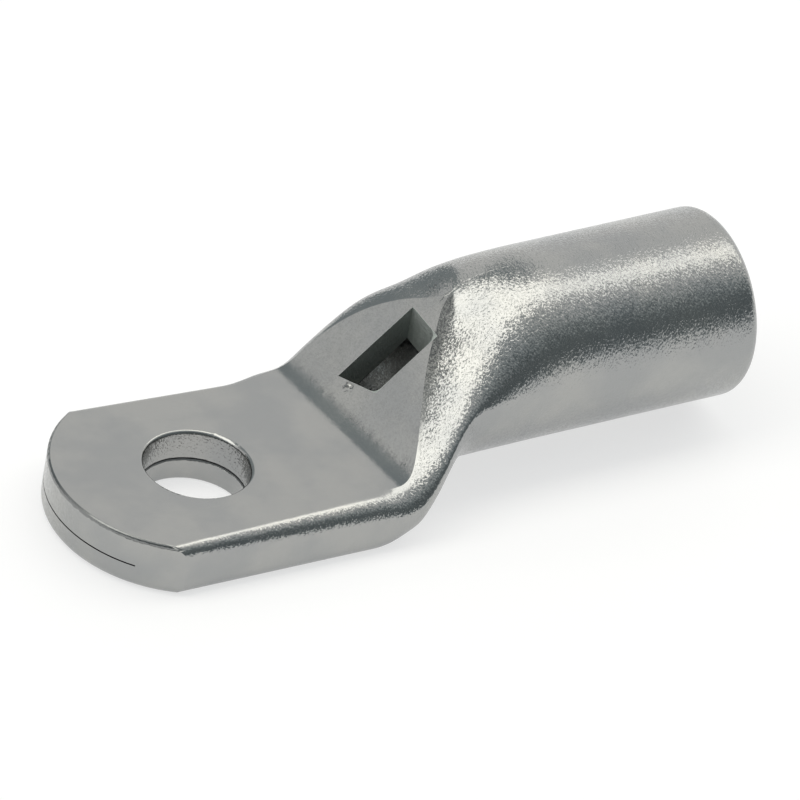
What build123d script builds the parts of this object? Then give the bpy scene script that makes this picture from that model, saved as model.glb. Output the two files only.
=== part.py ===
"""Tubular cable lug, pressed from one length of tube.

The round end is the barrel for the conductor. The other end is pressed flat into a two-layer
palm with a bolt hole, and the ramp between them has an inspection window. The origin is the
bolt hole's centre on the contact face, +X runs along the barrel and +Z is up. Millimetres.
"""

import os
from math import asin, cos, degrees, radians, sin, tan

from build123d import *

# Barrel
barrel_diameter = 15.1
barrel_wall = 2.2
barrel_end = 46.8  # bolt hole centre to the open mouth
barrel_lift = 0.85  # underside of the barrel above the contact face
barrel_shift = 1.2  # the tube's axis lies this far to the side of the bolt hole
mouth_outer_round = 0.95
mouth_inner_chamfer = 0.5
bore_relief = 0.02  # the round length of the bore is sized this much wider than the pressed end

# Palm
palm_thickness = 4.6
palm_width = 18.9  # across the bolt hole
palm_taper = 1.15  # degrees, each side closes by this towards the barrel
palm_yaw = 2.6  # degrees, the palm isn't quite in line with the barrel
tip_reach = 11.7  # bolt hole centre to the end of the palm
tip_radius = 10.6
tip_lower_round = 0.9  # rolled lower edge of the cut end
tip_upper_round = 0.25
tip_sweep = 164.0  # degrees, the rounded end's cut is swept this far, past both sides of the palm
hole_diameter = 8.4
hole_rollover = 0.3
palm_upper_round = 0.8  # long edges of the palm, at the tip
palm_lower_round = 1.0
neck_near_round = 1.9  # the same edges where the palm meets the ramp
neck_far_round = 0.9
neck_lower_round = 1.2

# Seam between the two layers of the palm
seam_height = 2.05
seam_gap = 0.12
fold_wall = 2.3  # metal left at each folded side

# Ramp
crease_reach = 13.5  # bolt hole centre to the crease
crease_skew = 4.3  # degrees, the crease isn't quite square to the barrel
crease_radius = 3.0
ramp_angle = 42.0
crest_radius = 11.0
neck_lead = 3.0  # the palm's section starts to change this far before the crease
arch_length = 9.3  # the flat face of the ramp runs out this far past the crease
arch_shift = 3.0  # bolt hole centre to the top of that face, to the side
face_edge = 28.0  # degrees, its sides stop this far short of running smoothly into the face
edge_length = 10.5  # this edge has faded out this far past the crease
near_arch_power = 1.35  # how the face's two edges curve in
far_arch_power = 3.0
pinch_length = 8.0  # the near side and the underside reach the tube's own this far past the crease
spread_length = 12.0  # the far side reaches the tube's own this far past the crease
far_bulge = 1.1  # the far side swells by this on the way
bulge_lead = 6.0  # the swelling starts this far before the crease
bulge_hold = 6.0  # it is full until this far past the crease
bulge_reach = 15.0  # and gone this far past it
shoulder_blend = 1.0

# Inspection window, cut straight down through the upper wall of the ramp
window_setback = 2.05  # crease to the window's lower end, at its middle
window_length = 5.35  # seen from above
window_width = 3.75
window_shift = 2.6  # bolt hole centre to the window's middle line, to the side
window_slant = 16.0  # degrees, the lower end is cut on a slant
window_corner = 0.9
window_depth = 0.4  # the cut goes this far past the upper wall

# The sections that shape the pressed part: their spacing, and the short lines at their poles
station_step = 0.9
pole_width = 0.4
flank_height = 0.4

# Cuts run past the metal by the margin, and past a flat face by the overlap
margin = 3.0
edge_overlap = 0.02

barrel_radius = barrel_diameter / 2
bore_radius = barrel_radius - barrel_wall
axis_height = barrel_lift + barrel_radius
barrel_top = axis_height + barrel_radius
upper_layer = palm_thickness - seam_height - seam_gap
lower_layer = seam_height - seam_gap
neck_start = crease_reach - neck_lead
pinch_end = crease_reach + pinch_length
spread_end = crease_reach + spread_length
edge_end = crease_reach + edge_length
slope = tan(radians(ramp_angle))
half_turn = tan(radians(ramp_angle / 2))
crest_corner = crease_reach + (barrel_top - palm_thickness) / slope
round_start = crest_corner + crest_radius * half_turn


def blend(x, start, end):
    """A smooth step from 0 at start to 1 at end."""
    t = min(max((x - start) / (end - start), 0.0), 1.0)
    return t * t * (3 - 2 * t)


def roof_line(x, depth=0.0):
    """Height of the upper outline, or of the line that lies depth inside it.

    It runs along the palm, the crease's arc, the ramp, the crest's arc and the barrel.
    """
    lower_radius = crease_radius + depth
    upper_radius = crest_radius - depth
    lower_corner = crease_reach + depth * half_turn
    upper_corner = crest_corner + depth * half_turn
    lower_start = lower_corner - lower_radius * half_turn
    lower_end = lower_corner + lower_radius * half_turn * cos(radians(ramp_angle))
    upper_start = upper_corner - upper_radius * half_turn * cos(radians(ramp_angle))
    upper_end = upper_corner + upper_radius * half_turn
    if x <= lower_start:
        return palm_thickness - depth
    if x < lower_end:
        return palm_thickness - depth + lower_radius - (lower_radius**2 - (x - lower_start) ** 2) ** 0.5
    if x <= upper_start:
        return palm_thickness - depth + slope * (x - lower_corner)
    if x < upper_end:
        return barrel_top - depth - upper_radius + (upper_radius**2 - (upper_end - x) ** 2) ** 0.5
    return barrel_top - depth


def palm_half_width(x):
    return palm_width / 2 - x * tan(radians(palm_taper))


def station(x, skew=0.0):
    """Plane across the lug at x, turned by skew degrees, with Y and Z as its axes."""
    turn = radians(skew)
    return Plane(origin=(x, 0, 0), x_dir=(-sin(turn), cos(turn), 0), z_dir=(cos(turn), sin(turn), 0))


def corner_arc(flank, flat, bow, break_turn=0.0):
    """One corner of a section: an arc of an ellipse from its flank point to its flat point.

    bow is 0 for a quarter of the ellipse, and 1 for the part of the tube's own circle. The arc
    stops break_turn short of level, so that it meets the flat in an edge.
    """
    side = 1 if flank[0] > flat[0] else -1
    rise = 1 if flat[1] > flank[1] else -1
    flank_turn = bow * asin(flank_height / 2 / barrel_radius)
    flat_turn = bow * asin(pole_width / 2 / barrel_radius) + break_turn
    across = side * (flank[0] - flat[0]) / (cos(flank_turn) - sin(flat_turn))
    up = rise * (flat[1] - flank[1]) / (cos(flat_turn) - sin(flank_turn))
    middle = (flank[0] - side * across * cos(flank_turn), flank[1] - rise * up * sin(flank_turn))
    quarter = {(1, 1): 0, (-1, 1): 90, (-1, -1): 180, (1, -1): 270}[side, rise]
    first_turn = degrees(flank_turn if side == rise else flat_turn)
    sweep_angle = 90 - degrees(flank_turn + flat_turn)
    EllipticalCenterArc(middle, across, up, quarter + first_turn, arc_size=sweep_angle)


def flat_line(start, middle, end, bow):
    """A flat side of a section, straight on the palm and part of the circle on the barrel."""
    if bow == 1:
        ThreePointArc(start, middle, end)
    else:
        Line(start, end)


def section(x, inner=False):
    """The closed outline across the lug at x, as a face: the outside, or the bore with inner.

    It has a flat top and bottom, two upright flanks and a corner arc between each pair.
    """
    pinch = blend(x, crease_reach, pinch_end)
    swell = blend(x, neck_start, pinch_end)
    spread = blend(x, neck_start, spread_end)
    bow = blend(x, crease_reach, round_start)
    palm_x = min(x, crease_reach)
    palm_middle = -tan(radians(palm_yaw)) * palm_x
    palm_half = palm_half_width(palm_x)
    near = (palm_middle - palm_half) * (1 - pinch) + (barrel_shift - barrel_radius) * pinch
    far = (palm_middle + palm_half) * (1 - spread) + (barrel_shift + barrel_radius) * spread
    swelling = blend(x, crease_reach - bulge_lead, crease_reach)
    swelling = swelling * (1 - blend(x, crease_reach + bulge_hold, crease_reach + bulge_reach))
    far = far + far_bulge * swelling
    bottom = barrel_lift * swell - edge_overlap * (1 - swell)
    top = roof_line(x)

    # The corners' sizes, which grow from the palm's edge rounding to the tube's radius
    share = min((x + tip_reach) / (neck_start + tip_reach), 1.0)
    near_round = palm_upper_round + (neck_near_round - palm_upper_round) * share
    far_round = palm_upper_round + (neck_far_round - palm_upper_round) * share
    lower_round = palm_lower_round + (neck_lower_round - palm_lower_round) * share
    arch = min(max((x - crease_reach) / arch_length, 0.0), 1.0)
    apex = arch_shift + (barrel_shift - arch_shift) * blend(x, crease_reach + arch_length, round_start)
    near_flat = apex - max((apex - near - near_round) * (1 - arch**near_arch_power), pole_width / 2)
    far_flat = apex + max((far - far_round - apex) * (1 - arch**far_arch_power), pole_width / 2)
    near_foot = (near + lower_round) * (1 - swell) + (barrel_shift - pole_width / 2) * swell
    far_foot = (far - lower_round) * (1 - swell) + (barrel_shift + pole_width / 2) * swell
    below_top = top - near_round
    shoulder = axis_height + flank_height / 2
    apart = ((below_top - shoulder) ** 2 + shoulder_blend**2 * swell) ** 0.5
    upper_flank = (below_top + shoulder - apart) / 2 * (1 - bow) + shoulder * bow
    lower_flank = (bottom + lower_round) * (1 - swell) + (axis_height - flank_height / 2) * swell
    lower_flank = min(lower_flank, upper_flank - flank_height)
    flank_sag = bow * (barrel_radius - (barrel_radius**2 - (flank_height / 2) ** 2) ** 0.5)
    pole_sag = bow * (barrel_radius - (barrel_radius**2 - (pole_width / 2) ** 2) ** 0.5)

    edge = blend(x, neck_start, crease_reach) * (1 - blend(x, crease_reach + arch_length / 2, edge_end))
    break_turn = radians(face_edge) * edge

    # From the outside to the bore: the outline is moved in by the wall on each side
    side_wall = 0.0
    floor = bottom
    roof = top
    if inner:
        side_wall = fold_wall * (1 - pinch) + barrel_wall * pinch
        floor = bottom + lower_layer * (1 - pinch) + barrel_wall * pinch
        roof = roof_line(x, upper_layer * (1 - pinch) + barrel_wall * pinch)

    def place(y, z):
        inner_y = near + side_wall + (y - near) * (far - near - 2 * side_wall) / (far - near)
        return inner_y, floor + (z - bottom) * (roof - floor) / (top - bottom)

    near_top, far_top = place(near_flat, top - pole_sag), place(far_flat, top - pole_sag)
    near_bottom, far_bottom = place(near_foot, bottom + pole_sag), place(far_foot, bottom + pole_sag)
    near_upper, near_lower = place(near + flank_sag, upper_flank), place(near + flank_sag, lower_flank)
    far_upper, far_lower = place(far - flank_sag, upper_flank), place(far - flank_sag, lower_flank)
    mid_flank = (upper_flank + lower_flank) / 2
    with BuildSketch(station(x, crease_skew * blend(x, -tip_reach, crease_reach) * (1 - bow))) as outline:
        with BuildLine():
            flat_line(near_top, place((near_flat + far_flat) / 2, top), far_top, bow)
            corner_arc(far_upper, far_top, bow, break_turn)
            flat_line(far_upper, place(far, mid_flank), far_lower, bow)
            corner_arc(far_lower, far_bottom, bow)
            flat_line(far_bottom, place((near_foot + far_foot) / 2, bottom), near_bottom, bow)
            corner_arc(near_lower, near_bottom, bow)
            flat_line(near_lower, place(near, mid_flank), near_upper, bow)
            corner_arc(near_upper, near_top, bow, break_turn)
        make_face()
    return outline.sketch


def places(start, end, step):
    """Even places from start to end, about step apart."""
    count = round((end - start) / step)
    return [start + (end - start) * place / count for place in range(count + 1)]


# Where the sections of the tube are taken, from beyond the tip to the plain barrel
barrel_start = round_start + 2 * station_step
section_places = places(-tip_reach - 2, round_start, station_step)[:-1]
section_places = section_places + places(round_start, barrel_start, station_step)

# The bore's pressed end, which closes under the ramp
bore_places = [x for x in section_places if x > neck_start + neck_lead / 2]
with BuildPart() as pressed_bore:
    loft([section(x, inner=True) for x in bore_places])

# The bore's round length, with the flare at its mouth
with BuildPart() as round_bore:
    with BuildSketch(station(barrel_start)):
        with Locations((barrel_shift, axis_height)):
            Circle(bore_radius + bore_relief)
    extrude(amount=barrel_end - barrel_start)
    with BuildSketch(station(barrel_end)) as flare_circle:
        with Locations((barrel_shift, axis_height)):
            Circle(bore_radius + mouth_inner_chamfer)
    extrude(flare_circle.sketch, amount=-bore_radius, taper=45)

# All that would hang below the contact face, so that the palm's underside is truly flat
with BuildPart() as below_contact:
    with Locations((0, 0, -margin / 2)):
        Box(4 * crease_reach, 2 * palm_width, margin)

# The seam between the palm's layers, from the tip into the closed end of the bore
palm_plane = Plane.XY.rotated((0, 0, -palm_yaw))
with BuildPart() as seam:
    with BuildSketch(palm_plane.offset(seam_height - seam_gap / 2)):
        with BuildLine():
            seam_start = -tip_reach - 1
            start_half = palm_half_width(seam_start) - fold_wall
            end_half = palm_half_width(crease_reach) - fold_wall
            Polyline(
                (seam_start, -start_half),
                (crease_reach, -end_half),
                (crease_reach, end_half),
                (seam_start, start_half),
                close=True,
            )
        make_face()
    extrude(amount=seam_gap)

# All that lies beyond the palm's rounded end, whose lower edge is rolled and upper edge broken
tip_centre = palm_plane.from_local_coords((tip_radius - tip_reach, 0, 0))
sweep_start = radians(180 - palm_yaw - tip_sweep / 2)
tip_section = Plane(
    origin=tip_centre,
    x_dir=(cos(sweep_start), sin(sweep_start), 0),
    z_dir=(sin(sweep_start), -cos(sweep_start), 0),
)
with BuildPart() as beyond_tip:
    with BuildSketch(tip_section):
        with BuildLine():
            lower_r = tip_radius - tip_lower_round
            upper_r = tip_radius - tip_upper_round
            top_z = palm_thickness + edge_overlap
            Polyline((tip_radius + 3 * margin, -margin), (lower_r, -margin), (lower_r, -edge_overlap))
            CenterArc((lower_r, tip_lower_round - edge_overlap), tip_lower_round, -90, 90)
            Line((tip_radius, tip_lower_round - edge_overlap), (tip_radius, top_z - tip_upper_round))
            CenterArc((upper_r, top_z - tip_upper_round), tip_upper_round, 0, 90)
            Polyline(
                (upper_r, top_z),
                (upper_r, palm_thickness + margin),
                (tip_radius + 3 * margin, palm_thickness + margin),
                (tip_radius + 3 * margin, -margin),
            )
        make_face()
    revolve(axis=Axis(tip_centre, (0, 0, 1)), revolution_arc=tip_sweep)

# The bolt hole, with the rims that the punch rolls over
with BuildPart() as bolt_hole:
    with BuildSketch(Plane.XZ):
        with BuildLine():
            rim = hole_diameter / 2 + hole_rollover
            wall = hole_diameter / 2
            above = palm_thickness + margin
            Polyline((0, -margin), (rim, -margin), (rim, 0))
            RadiusArc((rim, 0), (wall, hole_rollover), hole_rollover)
            Line((wall, hole_rollover), (wall, palm_thickness - hole_rollover))
            RadiusArc((wall, palm_thickness - hole_rollover), (rim, palm_thickness), hole_rollover)
            Polyline((rim, palm_thickness), (rim, above), (0, above), (0, -margin))
        make_face()
    revolve(axis=Axis.Z)

# The inspection window, cut straight down through the upper wall only
ramp_plane = Plane(
    origin=(crease_reach, 0, palm_thickness),
    x_dir=(cos(radians(ramp_angle)), 0, sin(radians(ramp_angle))),
    z_dir=(-sin(radians(ramp_angle)), 0, cos(radians(ramp_angle))),
)
with BuildPart() as window:
    with BuildSketch(ramp_plane) as window_outline:
        with BuildLine():
            near_end = window_setback / cos(radians(ramp_angle))
            far_end = (window_setback + window_length) / cos(radians(ramp_angle))
            slant = window_width / 2 * tan(radians(window_slant)) / cos(radians(ramp_angle))
            low_side = window_shift - window_width / 2
            high_side = window_shift + window_width / 2
            Polyline(
                (near_end + slant, low_side),
                (far_end, low_side),
                (far_end, high_side),
                (near_end - slant, high_side),
                close=True,
            )
        make_face()
        fillet(vertices().group_by(Axis.Y)[0], window_corner)
    wall_drop = barrel_wall / cos(radians(ramp_angle))
    extrude(window_outline.sketch, amount=wall_drop + window_depth, dir=(0, 0, -1))
    extrude(window_outline.sketch, amount=wall_drop, dir=(0, 0, 1))

# The whole lug: the outside as pressed, less the cuts
with BuildPart() as cable_lug:
    loft([section(x) for x in section_places])
    extrude(faces().sort_by(Axis.X)[-1], amount=barrel_end - barrel_start)
    fillet(edges().group_by(Axis.X)[-1], mouth_outer_round)
    add(pressed_bore, mode=Mode.SUBTRACT)
    add(round_bore, mode=Mode.SUBTRACT)
    add(below_contact, mode=Mode.SUBTRACT)
    add(beyond_tip, mode=Mode.SUBTRACT)
    add(bolt_hole, mode=Mode.SUBTRACT)
    add(window, mode=Mode.SUBTRACT)
    add(seam, mode=Mode.SUBTRACT)

cable_lug.part.label = "cable_lug"

os.makedirs("parts", exist_ok=True)
export_step(cable_lug.part, "parts/cable_lug.step")
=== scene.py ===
"""Looks of a tubular cable lug: satin tin plate on a white studio sweep, at the photograph's angle.

Lengths are in metres, in the frame's own axes: the bolt hole's centre on the contact face is the
origin, +X runs along the barrel and +Z is up.
"""

from math import cos, radians, sin

import bpy
from mathutils import Matrix, Vector

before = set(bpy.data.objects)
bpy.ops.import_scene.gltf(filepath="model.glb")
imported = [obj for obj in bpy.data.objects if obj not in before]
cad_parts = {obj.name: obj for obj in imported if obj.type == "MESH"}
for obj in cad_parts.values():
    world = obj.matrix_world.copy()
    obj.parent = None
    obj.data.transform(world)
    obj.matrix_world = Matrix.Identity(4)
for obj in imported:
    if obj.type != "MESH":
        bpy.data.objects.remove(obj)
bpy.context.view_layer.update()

# The photograph's camera, as an orbit about the bolt hole, and where that hole lies in the picture
picture_size = 800
focal_length = 11976.0  # in pixels
camera_azimuth = radians(-36.71)
camera_elevation = radians(35.25)
camera_roll = radians(10.36)
camera_distance = 0.9208
hole_pixel = (189.1, 511.9)
sensor_width = 36.0

# Colours, linear
tin_light = (0.392, 0.394, 0.382)
tin_dark = (0.345, 0.352, 0.350)
# Painted shade for the seam in the hole's wall, also darkening the line under the tip's upper edge
seam_shade_and_tip_line_colour = (0.130, 0.138, 0.140)
# The window's cut faces: a greener tone, painted a little lighter than the plate to lift their shade
tin_cut_painted_lighter = (0.380, 0.410, 0.390)
floor_colour = (0.42, 0.42, 0.42)
neutral_light = (1.0, 1.0, 0.99)
warm_light = (1.0, 0.985, 0.93)
cool_light = (0.84, 0.96, 1.0)

# Texture of the plate: noises by their fineness per metre, and how strongly they show
grain_stretch = (1.0, 0.6, 0.6)
crystal_fineness = 9000.0
fleck_fineness = 7500.0
ragged_fineness = 1900.0
dent_fineness = 380.0
cloud_fineness = 160.0
crystal_lean = 0.135
fleck_depth = 1.0e-5
dent_height = 4.0e-5
mark_depth = 4.0e-5

# Roughness of the plate between its dents' levels, what the flecks add, and the duller places
plate_roughness = (0.15, 0.19)
fleck_roughness = 0.07
mark_roughness = 0.45
cut_roughness = 0.55
cut_metallic = 0.88

# The seam in the hole's wall, darkened with painted shade, and the darker ragged line under the tip's
# upper edge
hole_centre = (0.0, 0.0, 0.0)
hole_wall_start = 4.25e-3
hole_wall_end = 4.35e-3
groove_bottom = 1.98e-3
groove_top = 2.22e-3
groove_raggedness = 2.4e-4
tip_centre = (-1.1e-3, 5e-5, 0.0)
tip_radius = 10.6e-3
shear_start = 4.42e-3
shear_full = 4.50e-3
shear_raggedness = 3.0e-4
shear_strength = 0.6

# The upper faces of the palm and the ramp, where the die leaves only a share of the texture
crease = 13.5e-3
palm_top = 4.6e-3
ramp_slope = 0.9004
ramp_skew = 0.06
pressed_share = 0.12
pressed_depth = (5e-5, 2.5e-4)

# The window's outline seen from above, and the rough spot at its lower end
window_start = 15.53e-3
window_end = 20.92e-3
window_middle = 2.6e-3
window_half_width = 1.9e-3
window_slant = 0.2867
window_depth = 3.0e-3
spot_centre = (15.16e-3, 3.01e-3, 6.08e-3)
spot_strength = 0.35

# Where the crest turns more sharply than its arc, and how far the shading leans there
shoulder_slant = 0.503
shoulder_foot = 20.5e-3
shoulder_top = 21.65e-3
shoulder_rise = (21.3e-3, 23.3e-3)
shoulder_fall = (24.2e-3, 27.5e-3)
shoulder_height = (9.5e-3, 10.5e-3)
shoulder_width = 2.8e-3
shoulder_fade = 1.6e-3
shoulder_lean = (0.14, -0.13, 0.0)
crest_fall = (24.5e-3, 28.5e-3)
crest_side = (1.5e-3, 3.5e-3)
crest_height = (11.5e-3, 13.5e-3)
crest_lean = (0.32, 0.0, 0.08)

# Strengths of the studio's light, and the shares of it that the dark flag takes away
wall_light = 0.92
overhead_light = 0.85
dim_light = 0.20
low_light = 0.75
palm_end_share = 0.72
floor_glow = 0.63
box_light_palm = 2.6
box_light_mouth = 2.4
flag_share_palm = 0.88
flag_share_mouth = 0.55

# The round gap in the flag, by its middle and half its width each way
gap_side = -0.6
gap_turn = radians(43)
gap_half_side = 0.38
gap_half_turn = radians(8)


def camera_axes():
    """Right, up and backward directions of the camera, with its roll."""
    turn, rise = camera_azimuth, camera_elevation
    back = Vector((sin(turn) * cos(rise), -cos(turn) * cos(rise), sin(rise)))
    level = Vector((cos(turn), sin(turn), 0.0))
    upright = back.cross(level)
    right = level * cos(camera_roll) + upright * sin(camera_roll)
    up = upright * cos(camera_roll) - level * sin(camera_roll)
    return right, up, back


def add_camera():
    right, up, back = camera_axes()
    pixel = camera_distance / focal_length
    sideways = right * (picture_size / 2 - hole_pixel[0]) * pixel
    upwards = up * (hole_pixel[1] - picture_size / 2) * pixel
    data = bpy.data.cameras.new("camera")
    data.sensor_width = sensor_width
    data.lens = focal_length / picture_size * sensor_width
    data.clip_start = 0.01
    data.clip_end = 50.0
    camera = bpy.data.objects.new("camera", data)
    axes = Matrix((right, up, back)).transposed().to_4x4()
    camera.matrix_world = Matrix.Translation(back * camera_distance + sideways + upwards) @ axes
    bpy.context.scene.collection.objects.link(camera)
    bpy.context.scene.camera = camera


class Nodes:
    """A short way to add nodes to a tree and join them."""

    def __init__(self, tree):
        self.tree = tree
        self.tree.nodes.clear()

    def put(self, value, socket):
        """Joins a socket to another, or sets its value."""
        if isinstance(value, bpy.types.NodeSocket):
            self.tree.links.new(value, socket)
        elif socket.type == "RGBA":
            socket.default_value = (*value, 1.0)
        else:
            socket.default_value = value

    def add(self, kind, inputs=None, **settings):
        node = self.tree.nodes.new(kind)
        for name, value in settings.items():
            setattr(node, name, value)
        for name, value in (inputs or {}).items():
            self.put(value, node.inputs[name])
        return node

    def noise(self, place, scale, detail=2.0, roughness=0.5):
        inputs = {"Vector": place, "Scale": scale, "Detail": detail, "Roughness": roughness}
        return self.add("ShaderNodeTexNoise", inputs).outputs["Fac"]

    def math(self, operation, first, second=0.0):
        return self.add("ShaderNodeMath", {0: first, 1: second}, operation=operation).outputs[0]

    def total(self, *values):
        result = values[0]
        for value in values[1:]:
            result = self.math("ADD", result, value)
        return result

    def product(self, *values):
        result = values[0]
        for value in values[1:]:
            result = self.math("MULTIPLY", result, value)
        return result

    def vector(self, operation, first, second=(0.0, 0.0, 0.0)):
        return self.add("ShaderNodeVectorMath", {0: first, 1: second}, operation=operation).outputs[0]

    def scaled(self, vector, scale):
        inputs = {0: vector, "Scale": scale}
        return self.add("ShaderNodeVectorMath", inputs, operation="SCALE").outputs[0]

    def step(self, value, low, high, start=0.0, end=1.0):
        """A value from start to end, smoothly spread between low and high."""
        inputs = {"Value": value, "From Min": low, "From Max": high, "To Min": start, "To Max": end}
        node = self.add("ShaderNodeMapRange", inputs, interpolation_type="SMOOTHSTEP")
        return node.outputs["Result"]

    def fade(self, value, low, high):
        """1 below low, smoothly down to 0 above high."""
        return self.step(value, low, high, 1.0, 0.0)

    def band(self, value, low, high, soft):
        """1 between low and high, fading to 0 over soft outside them."""
        return self.product(self.step(value, low - soft, low), self.fade(value, high, high + soft))

    def distance(self, place, point, flat=False):
        """Distance from place to a point, or from the upright line through it with flat."""
        scale = (1.0, 1.0, 0.0 if flat else 1.0)
        offset = self.vector("MULTIPLY", self.vector("SUBTRACT", place, point), scale)
        return self.add("ShaderNodeVectorMath", {0: offset}, operation="LENGTH").outputs["Value"]

    def mix(self, share, first, second):
        """A colour between first and second."""
        node = self.add("ShaderNodeMix", {"Factor": share}, data_type="RGBA")
        for name, value in (("A", first), ("B", second)):
            self.put(value, [s for s in node.inputs if s.name == name and s.type == "RGBA"][0])
        return [s for s in node.outputs if s.type == "RGBA"][0]


def new_material(name):
    """A material with its own empty node tree, as Nodes."""
    material = bpy.data.materials.new(name)
    material.use_nodes = True
    return material, Nodes(material.node_tree)


def paint_seam_shade_and_tip_line(nodes, place, x, z, ragged):
    """Painted shade along the seam in the hole's wall, and a darker ragged line just under the tip's
    upper edge.
    """
    from_hole = nodes.distance(place, hole_centre, flat=True)
    hole_wall = nodes.fade(from_hole, hole_wall_start, hole_wall_end)
    groove_height = nodes.total(z, nodes.product(ragged, groove_raggedness))
    seam_shade_band = nodes.product(hole_wall, nodes.band(groove_height, groove_bottom, groove_top, 5e-5))

    from_tip = nodes.distance(place, tip_centre, flat=True)
    at_end = nodes.step(from_tip, tip_radius - 2.2e-4, tip_radius - 1.2e-4)
    shear_height = nodes.total(z, nodes.product(ragged, shear_raggedness))
    shear_edge = nodes.step(shear_height, shear_start, shear_full, 0.0, shear_strength)
    shear = nodes.product(at_end, nodes.step(x, -2e-3, -3e-3), shear_edge)
    return nodes.math("MAXIMUM", seam_shade_band, shear)


def window_faces(nodes, x, y, under_roof):
    """1 on the cut faces of the window, 0 on the pressed outside."""
    from_middle = nodes.math("SUBTRACT", y, window_middle)
    lower_end = nodes.total(x, nodes.product(from_middle, window_slant))
    return nodes.product(
        nodes.band(under_roof, 0.0, window_depth, 5e-5),
        nodes.band(y, window_middle - window_half_width, window_middle + window_half_width, 1e-5),
        nodes.step(lower_end, window_start - 1e-5, window_start),
        nodes.fade(x, window_end, window_end + 1e-5),
    )


def crest_normal(nodes, normal, x, y, z):
    """The normal, leant where the crest turns sharply: on its near shoulder, and on its far half."""
    across = nodes.math("SUBTRACT", x, nodes.product(y, shoulder_slant))
    foot = nodes.step(across, shoulder_foot, shoulder_foot + 4e-4, 0.0, 0.4)
    top = nodes.step(across, shoulder_top, shoulder_top + 5e-4, 0.0, 0.6)
    shoulder = nodes.product(
        nodes.total(foot, top),
        nodes.step(x, *shoulder_rise),
        nodes.fade(x, *shoulder_fall),
        nodes.band(y, 0.0, shoulder_width, shoulder_fade),
        nodes.step(z, *shoulder_height),
    )
    crest = nodes.product(
        nodes.step(across, shoulder_top, shoulder_top + 8e-4),
        nodes.fade(x, *crest_fall),
        nodes.step(y, *crest_side),
        nodes.step(z, *crest_height),
    )
    normal = nodes.vector("ADD", normal, nodes.scaled(shoulder_lean, shoulder))
    return nodes.vector("ADD", normal, nodes.scaled(crest_lean, crest))


def tin_plate():
    """Tin plate with fine crystals and pits, and a dented, duller seam and tip line: painted shade
    darkens the seam in the hole's wall, and a darker colour the line under the tip's upper edge.
    """
    material, nodes = new_material("tin_plate")
    place = nodes.add("ShaderNodeTexCoord").outputs["Object"]
    parts = nodes.add("ShaderNodeSeparateXYZ", {"Vector": place}).outputs
    x, y, z = parts["X"], parts["Y"], parts["Z"]

    along_grain = nodes.vector("MULTIPLY", place, grain_stretch)
    crystals = nodes.add("ShaderNodeTexVoronoi", {"Vector": along_grain, "Scale": crystal_fineness})
    flecks = nodes.step(nodes.noise(along_grain, fleck_fineness, 1.0), 0.40, 0.68)
    dents = nodes.noise(place, dent_fineness, 2.0)
    clouds = nodes.noise(place, cloud_fineness, 3.0, 0.55)
    ragged = nodes.noise(place, ragged_fineness, 3.0, 0.6)

    # Depth under the upper faces, and the share of the texture that the die leaves on them
    up_ramp = nodes.math("SUBTRACT", nodes.total(x, nodes.product(y, ramp_skew)), crease)
    ramp_height = nodes.total(nodes.product(up_ramp, ramp_slope), palm_top)
    under_roof = nodes.math("SUBTRACT", nodes.math("MAXIMUM", ramp_height, palm_top), z)
    texture_share = nodes.step(under_roof, *pressed_depth, pressed_share, 1.0)

    seam_shade_and_tip_line_mask = paint_seam_shade_and_tip_line(nodes, place, x, z, ragged)
    inside = window_faces(nodes, x, y, under_roof)
    colour = nodes.mix(nodes.step(clouds, 0.35, 0.65), tin_dark, tin_light)
    # Painted shade along the hole's seam, and a darker line under the tip's upper edge
    colour = nodes.mix(seam_shade_and_tip_line_mask, colour, seam_shade_and_tip_line_colour)
    # Cut faces: greener, and painted lighter to lift the window's shade
    colour = nodes.mix(inside, colour, tin_cut_painted_lighter)
    satin = nodes.product(flecks, fleck_roughness)
    satin = nodes.total(satin, nodes.step(dents, 0.3, 0.7, *plate_roughness))
    dull = nodes.product(seam_shade_and_tip_line_mask, mark_roughness)
    dull = nodes.math("MAXIMUM", dull, nodes.product(inside, cut_roughness))
    roughness = nodes.math("MAXIMUM", satin, dull)
    metallic = nodes.step(inside, 0.0, 1.0, 1.0, cut_metallic)

    relief = nodes.total(
        nodes.product(flecks, texture_share, -fleck_depth),
        nodes.product(dents, dent_height),
        nodes.product(seam_shade_and_tip_line_mask, -mark_depth),
    )
    bump = nodes.add("ShaderNodeBump", {"Height": relief, "Strength": 1.0, "Distance": 1.0})

    # Each crystal leans its own way, and most in the rough spot at the window's lower end
    rough_spot = nodes.step(nodes.distance(place, spot_centre), 2.5e-4, 6.5e-4, spot_strength, 0.0)
    lean = nodes.vector("SUBTRACT", crystals.outputs["Color"], (0.5, 0.5, 0.5))
    lean = nodes.scaled(lean, nodes.total(nodes.product(texture_share, crystal_lean), rough_spot))
    normal = nodes.vector("ADD", bump.outputs["Normal"], lean)
    normal = nodes.vector("NORMALIZE", crest_normal(nodes, normal, x, y, z))

    surface = {"Base Color": colour, "Roughness": roughness, "Metallic": metallic, "Normal": normal}
    shader = nodes.add("ShaderNodeBsdfPrincipled", surface)
    nodes.add("ShaderNodeOutputMaterial", {"Surface": shader.outputs[0]})
    return material


def seen(nodes):
    """1 for rays from the camera or from a glossy or clear surface, 0 for the rest."""
    path = nodes.add("ShaderNodeLightPath").outputs
    direct = nodes.math("MAXIMUM", path["Is Camera Ray"], path["Is Glossy Ray"])
    return nodes.math("MAXIMUM", direct, path["Is Transmission Ray"])


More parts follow.
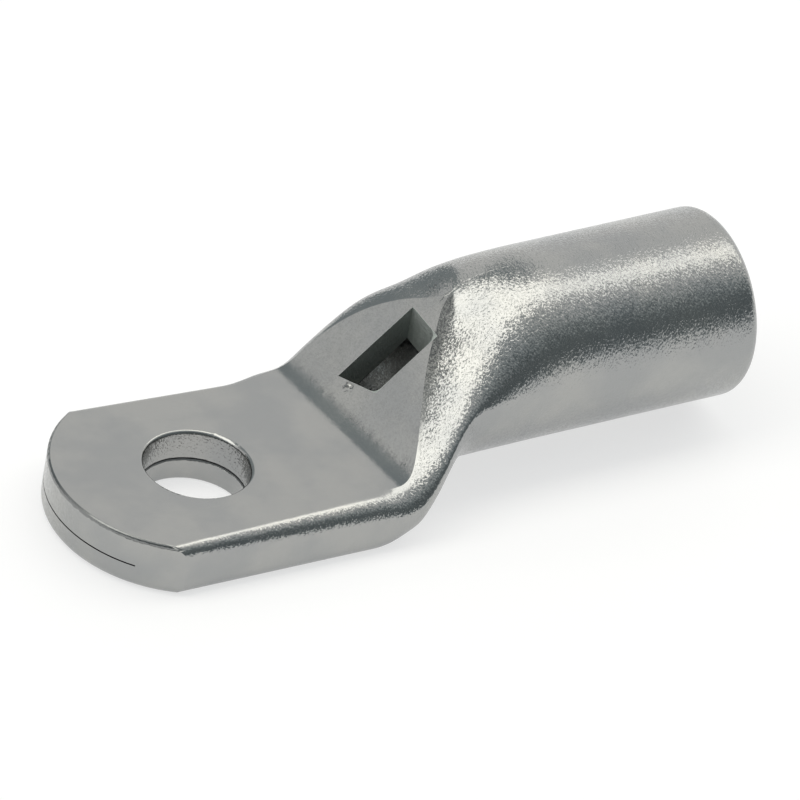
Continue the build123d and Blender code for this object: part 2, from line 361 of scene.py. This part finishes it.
def sweep_material():
    """White paper: it shows the shadow, and is lifted to white for what sees it directly."""
    material, nodes = new_material("white_sweep")
    paper = nodes.add("ShaderNodeBsdfDiffuse", {"Color": floor_colour})
    glow = nodes.add("ShaderNodeEmission", {"Strength": nodes.product(seen(nodes), floor_glow)})
    both = nodes.add("ShaderNodeAddShader", {0: paper.outputs[0], 1: glow.outputs[0]})
    nodes.add("ShaderNodeOutputMaterial", {"Surface": both.outputs[0]})
    return material


def add_stage():
    """The floor, as one large white sheet a hair's breadth under the palm."""
    half = 3.0
    height = -2e-5
    plan = ((-half, -half), (half, -half), (half, half), (-half, half))
    corners = [(x, y, height) for x, y in plan]
    mesh = bpy.data.meshes.new("floor")
    mesh.from_pydata(corners, [], [(0, 1, 2, 3)])
    mesh.materials.append(sweep_material())
    floor = bpy.data.objects.new("floor", mesh)
    bpy.context.scene.collection.objects.link(floor)


def add_room():
    """The studio around the lug, as a world whose brightness follows the direction.

    turn goes over the top, across the barrel: 0 is the horizon beyond the lug, a quarter turn is
    straight up and a half turn is the horizon behind the camera. side goes from -1 at the palm's
    end to 1 at the mouth's.
    """
    world = bpy.data.worlds.new("studio")
    bpy.context.scene.world = world
    world.use_nodes = True
    nodes = Nodes(world.node_tree)
    ray = nodes.add("ShaderNodeTexCoord").outputs["Generated"]
    parts = nodes.add("ShaderNodeSeparateXYZ", {"Vector": ray}).outputs
    turn = nodes.math("ARCTAN2", parts["Z"], parts["Y"])
    side = parts["X"]

    # Pale walls beyond the lug, and a dim room behind the camera with a paler foot
    dim_room = nodes.step(turn, radians(98), radians(150), overhead_light, dim_light)
    room_foot = nodes.step(turn, radians(166), radians(188), dim_light, low_light)
    dim_room = nodes.math("MAXIMUM", dim_room, room_foot)
    dim_room = nodes.product(dim_room, nodes.step(side, -0.2, 0.4, palm_end_share, 1.0))
    room = nodes.step(turn, radians(85), radians(95), wall_light, dim_room)

    # A long soft box overhead, nearer to the walls at the palm's end
    box_light = nodes.step(side, -0.4, 0.7, box_light_palm, box_light_mouth)
    box_edge = nodes.step(side, -0.35, 0.35, radians(62), radians(74))
    box_start = nodes.step(nodes.math("SUBTRACT", turn, box_edge), 0.0, radians(5))
    box_end = nodes.fade(turn, radians(91), radians(102))
    box_reach = nodes.fade(nodes.math("ABSOLUTE", side), 0.85, 0.95)
    box = nodes.product(box_light, box_start, box_end, box_reach)

    # A dark flag beyond the lug, with a round gap at the palm's end
    across = nodes.product(nodes.math("SUBTRACT", side, gap_side), 1 / gap_half_side)
    around = nodes.product(nodes.math("SUBTRACT", turn, gap_turn), 1 / gap_half_turn)
    from_gap = nodes.total(nodes.product(across, across), nodes.product(around, around))
    round_gap = nodes.step(from_gap, 0.75, 1.35)
    below_top = nodes.fade(turn, radians(62), radians(70))
    flag_left = nodes.step(side, -0.72, -0.60)
    flag_right = nodes.fade(side, 0.20, 0.32)
    flag_share = nodes.step(side, -0.5, -0.3, flag_share_palm, flag_share_mouth)
    flag = nodes.product(round_gap, below_top, flag_left, flag_right, flag_share)
    room = nodes.product(room, nodes.math("SUBTRACT", 1.0, flag))

    light = nodes.math("MAXIMUM", room, box)
    colour = nodes.mix(nodes.step(light, 0.2, 0.9), cool_light, neutral_light)
    colour = nodes.mix(nodes.step(light, 1.0, 1.6), colour, warm_light)
    shine = nodes.add("ShaderNodeBackground", {"Color": colour, "Strength": light})
    nodes.add("ShaderNodeOutputWorld", {"Surface": shine.outputs[0]})


def dress_lug():
    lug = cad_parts["cable_lug"]
    lug.data.materials.clear()
    lug.data.materials.append(tin_plate())


add_camera()
add_stage()
add_room()
dress_lug()

bpy.context.scene.view_settings.view_transform = "Standard"
